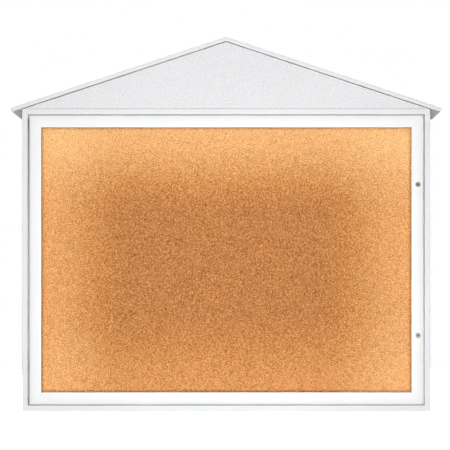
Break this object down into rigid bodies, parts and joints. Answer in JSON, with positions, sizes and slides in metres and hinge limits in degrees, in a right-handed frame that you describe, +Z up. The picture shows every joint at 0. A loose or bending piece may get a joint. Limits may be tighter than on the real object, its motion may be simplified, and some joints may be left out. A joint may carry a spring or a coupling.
{
  "type": "lockable notice board",
  "caption": "Wall-mounted weatherproof notice case with a gabled roof, a cork board and a glazed side-hinged door that cam locks hold shut.",
  "frame": {"origin": "middle of the hanging bar's rear face, on the wall plane, 330 mm above the middle of the case", "axes": "+X to the right as seen from the front, +Y into the wall, +Z up; the door faces -Y"},
  "size_m": [1.237, 0.1146, 1.076],
  "materials": {
    "white_coat": "white powder coat, semi-gloss",
    "textured_coat": "white powder coat with a fine stipple",
    "mill_aluminium": "mill finish",
    "stainless": "satin",
    "zinc_plate": "bright zinc plate",
    "lock_metal": "nickel plate, worn",
    "dark_rubber": "matte",
    "grey_rubber": "matte",
    "nylon": "moulded, matte",
    "cork": "natural granulated cork",
    "hardboard": "smooth",
    "clear_sheet": "clear, polished"
  },
  "bodies": {
    "cabinet": {"left_jamb": "white_coat", "right_jamb": "white_coat", "top_rail": "white_coat", "bottom_rail": "white_coat", "left_jamb_end_cap": "nylon", "right_jamb_end_cap": "nylon", "top_left_front_screw": "stainless", "top_left_rear_screw": "stainless", "bottom_left_front_screw": "stainless", "bottom_left_rear_screw": "stainless", "top_right_front_screw": "stainless", "top_right_rear_screw": "stainless", "bottom_right_front_screw": "stainless", "bottom_right_rear_screw": "stainless", "back_panel": "mill_aluminium", "backing_board": "hardboard", "cork_board": "cork", "hanger_bar": "mill_aluminium", "spacer_bar": "mill_aluminium", "gable_front_panel": "textured_coat", "gable_back_panel": "white_coat", "roof_left_panel": "white_coat", "roof_right_panel": "white_coat", "ridge_joiner": "mill_aluminium", "roof_left_cleat": "mill_aluminium", "roof_right_cleat": "mill_aluminium", "left_door_seal": "dark_rubber", "right_door_seal": "dark_rubber", "top_door_seal": "dark_rubber", "bottom_door_seal": "dark_rubber", "upper_strike_plate": "stainless", "lower_strike_plate": "stainless", "hinge_jamb_leaf": "stainless", "hinge_pin": "stainless"},
    "door": {"door_left_stile": "white_coat", "door_right_stile": "white_coat", "door_top_rail": "white_coat", "door_bottom_rail": "white_coat", "top_left_corner_key": "zinc_plate", "top_right_corner_key": "zinc_plate", "bottom_left_corner_key": "zinc_plate", "bottom_right_corner_key": "zinc_plate", "glazing_pane": "clear_sheet", "glazing_gasket": "grey_rubber", "left_glazing_bead": "white_coat", "right_glazing_bead": "white_coat", "top_glazing_bead": "white_coat", "bottom_glazing_bead": "white_coat", "hinge_door_leaf": "stainless", "upper_lock_body": "lock_metal", "lower_lock_body": "lock_metal", "upper_lock_nut": "zinc_plate", "lower_lock_nut": "zinc_plate"},
    "upper_lock": {"upper_lock_plug": "lock_metal", "upper_lock_cam": "zinc_plate", "upper_cam_screw": "zinc_plate"},
    "lower_lock": {"lower_lock_plug": "lock_metal", "lower_lock_cam": "zinc_plate", "lower_cam_screw": "zinc_plate"}
  },
  "joints": [
    {"name": "door_swing", "type": "hinge", "parent": "cabinet", "child": "door", "pos_m": [-0.5701, -0.0992, -0.33], "axis": [0, 0, -1], "range_deg": [0, 140]},
    {"name": "upper_lock_turn", "type": "hinge", "parent": "door", "child": "upper_lock", "pos_m": [0.5528, -0.0716, -0.1125], "axis": [0, 1, 0], "range_deg": [0, 90]},
    {"name": "lower_lock_turn", "type": "hinge", "parent": "door", "child": "lower_lock", "pos_m": [0.5528, -0.0716, -0.5475], "axis": [0, 1, 0], "range_deg": [0, 90]}
  ]
}
